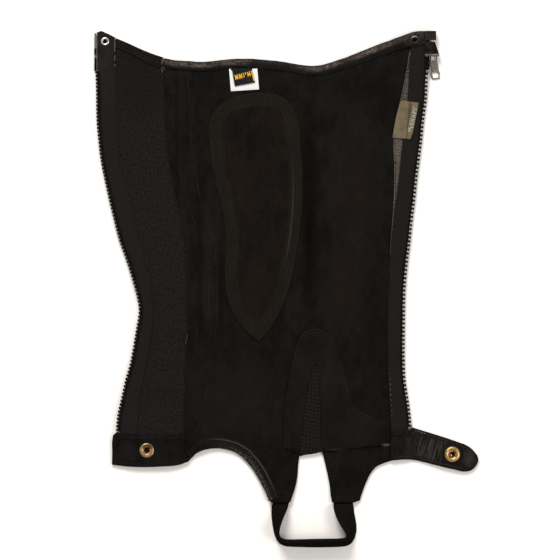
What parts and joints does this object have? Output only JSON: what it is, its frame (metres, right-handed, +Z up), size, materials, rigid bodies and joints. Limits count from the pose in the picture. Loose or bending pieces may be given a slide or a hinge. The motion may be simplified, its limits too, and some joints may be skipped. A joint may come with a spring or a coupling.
{
  "type": "half chaps",
  "caption": "Black suede half chap, opened at its side zip and laid flat with its inner side up, with a stretch panel, a snap tab and strap, and an elastic strap for under the shoe.",
  "frame": {"origin": "centre of the bounding box's base, on the surface that the chap lies on", "axes": "+X across the leg towards the snap strap, +Y up the leg towards the top binding, +Z up out of the suede inside"},
  "size_m": [0.3836, 0.5152, 0.0221],
  "materials": {
    "black_suede": "napped suede, matt",
    "grain_leather": "fine grain with a soft shine",
    "elastic_knit": "ribbed stretch knit, matt",
    "zip_cloth": "woven tape, matt",
    "black_plastic": "moulded, satin",
    "webbing": "woven elastic, matt",
    "brass": "polished, a little worn",
    "nickel": "nickel plate",
    "dark_metal": "dark lacquer, worn at the rims",
    "white_satin": "satin ribbon",
    "black_satin": "woven ribbon",
    "olive_ribbon": "woven ribbon"
  },
  "bodies": {
    "chap": {"leg_panel": "black_suede", "calf_insert": "black_suede", "instep_overlay": "black_suede", "snap_tab": "black_suede", "zip_facing": "grain_leather", "top_binding": "grain_leather", "arch_binding": "grain_leather", "snap_strap": "grain_leather", "elastic_panel": "elastic_knit", "elastic_hem": "elastic_knit", "instep_gusset": "elastic_knit", "zip_tape_left": "zip_cloth", "zip_tape_right": "zip_cloth", "zip_teeth_left": "black_plastic", "zip_teeth_right": "black_plastic", "zip_box": "black_plastic", "foot_strap": "webbing", "snap_post": "brass", "snap_stud": "brass", "snap_socket": "brass", "snap_cap": "brass", "eyelet_left": "nickel", "eyelet_right": "nickel", "zip_pin": "nickel", "zip_slider": "dark_metal", "zip_bail": "dark_metal", "white_label": "white_satin", "black_label": "black_satin", "side_label": "olive_ribbon"},
    "pull": {"zip_pull": "nickel"}
  },
  "joints": [
    {"name": "pull_tab", "type": "hinge", "parent": "chap", "child": "pull", "pos_m": [0.14563, 0.23858, 0.00228], "axis": [0.9925, 0.1219, 0], "range_deg": [0, 170]}
  ]
}
